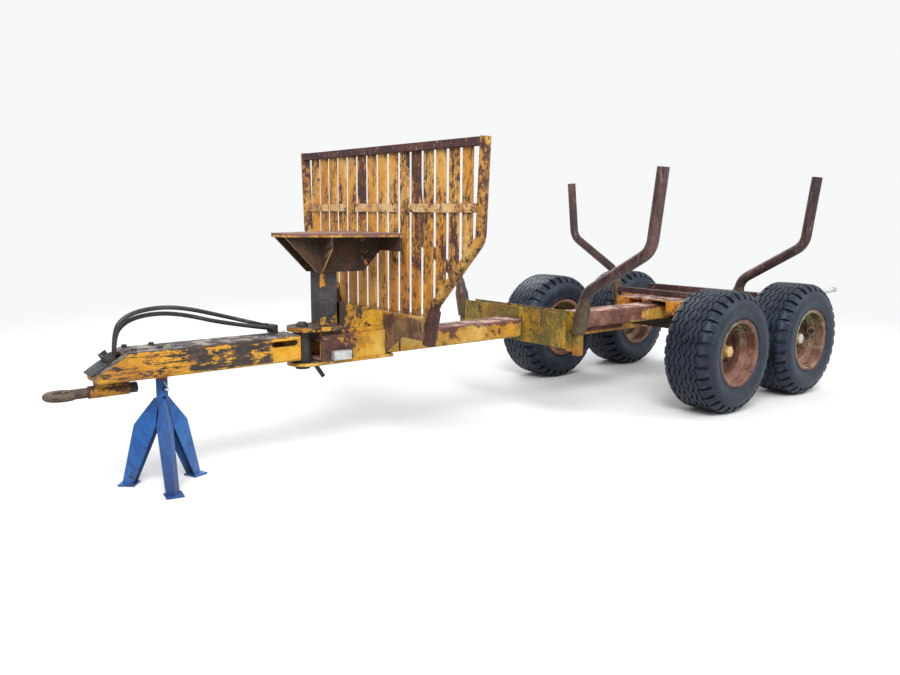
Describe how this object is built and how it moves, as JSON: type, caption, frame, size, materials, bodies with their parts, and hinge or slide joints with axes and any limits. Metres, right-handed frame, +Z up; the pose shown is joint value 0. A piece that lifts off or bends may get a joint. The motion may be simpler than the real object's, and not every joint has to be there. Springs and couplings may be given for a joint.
{
  "type": "forestry trailer",
  "caption": "Two-axle forestry trailer: central beam, articulated drawbar on an axle stand, bare crane pedestal, slatted headboard and bent pipe stakes.",
  "frame": {"origin": "on the ground under the middle of the whole trailer, measured with its tyres standing at z 0", "axes": "+X from the towing eye back to the load, +Y to the side away from the picture's viewer, +Z up"},
  "size_m": [6.33, 2.3376, 1.7394],
  "materials": {
    "yellow_paint": "old yellow enamel, chipped and worn through to brown rust, moss in the corners",
    "rusty_steel": "bare weathered steel with matt brown rust and dark stains",
    "dark_steel": "dark grimy steel, greased near the bearings",
    "galvanised": "dull galvanised steel with light stains",
    "rim_paint": "cream white rim paint with rust round the nuts and dirt",
    "tyre_rubber": "matt black rubber with dust and dried mud",
    "hose_rubber": "satin black hose cover",
    "stand_blue": "blue enamel with scratches",
    "stand_red": "red enamel, scuffed"
  },
  "bodies": {
    "chassis": {"main_beam": "yellow_paint", "beam_strip": "yellow_paint", "beam_head": "rusty_steel", "pivot_top_plate": "yellow_paint", "pivot_bottom_plate": "yellow_paint", "pivot_pin": "dark_steel", "side_bracket": "galvanised", "pedestal_column": "rusty_steel", "crane_table": "rusty_steel", "pedestal_brace": "rusty_steel", "headboard_base": "rusty_steel", "headboard_posts": "yellow_paint", "headboard_rail": "rusty_steel", "headboard_slats": "rusty_steel", "headboard_straps": "rusty_steel", "front_bolster": "yellow_paint", "front_stakes": "yellow_paint", "rear_bolster": "yellow_paint", "rear_rail": "rusty_steel", "rear_stakes": "yellow_paint", "bogie_saddle": "yellow_paint", "bogie_axle": "dark_steel", "bogie_beams": "yellow_paint", "rear_cross_bar": "rusty_steel", "extension_tube": "galvanised"},
    "drawbar": {"drawbar_beam": "yellow_paint", "nose_plate": "dark_steel", "pivot_barrel": "dark_steel", "eye_housing": "yellow_paint", "stand_saddle": "stand_red", "stand_post": "stand_blue", "stand_legs": "stand_blue", "hose_upper": "hose_rubber", "hose_lower": "hose_rubber", "hose_fittings": "dark_steel"},
    "eye": {"towing_eye": "rusty_steel", "eye_nut": "rusty_steel"},
    "wheel_front_near": {"rim_front_near": "rim_paint", "tyre_front_near": "tyre_rubber"},
    "wheel_front_far": {"rim_front_far": "rim_paint", "tyre_front_far": "tyre_rubber"},
    "wheel_rear_near": {"rim_rear_near": "rim_paint", "tyre_rear_near": "tyre_rubber"},
    "wheel_rear_far": {"rim_rear_far": "rim_paint", "tyre_rear_far": "tyre_rubber"}
  },
  "joints": [
    {"name": "drawbar_turn", "type": "hinge", "parent": "chassis", "child": "drawbar", "pos_m": [-1.838, 0, 0.63], "axis": [0, 0, 1], "range_deg": [-40, 40]},
    {"name": "eye_swivel", "type": "hinge", "parent": "drawbar", "child": "eye", "pos_m": [-2.877, 0, 0.52], "axis": [1, 0, 0], "continuous": true},
    {"name": "wheel_front_near_spin", "type": "hinge", "parent": "chassis", "child": "wheel_front_near", "pos_m": [0.987, -0.809, 0.425], "axis": [0, 1, 0], "continuous": true},
    {"name": "wheel_front_far_spin", "type": "hinge", "parent": "chassis", "child": "wheel_front_far", "pos_m": [0.987, 0.809, 0.425], "axis": [0, 1, 0], "continuous": true},
    {"name": "wheel_rear_near_spin", "type": "hinge", "parent": "chassis", "child": "wheel_rear_near", "pos_m": [1.972, -0.809, 0.425], "axis": [0, 1, 0], "continuous": true},
    {"name": "wheel_rear_far_spin", "type": "hinge", "parent": "chassis", "child": "wheel_rear_far", "pos_m": [1.972, 0.809, 0.425], "axis": [0, 1, 0], "continuous": true}
  ]
}
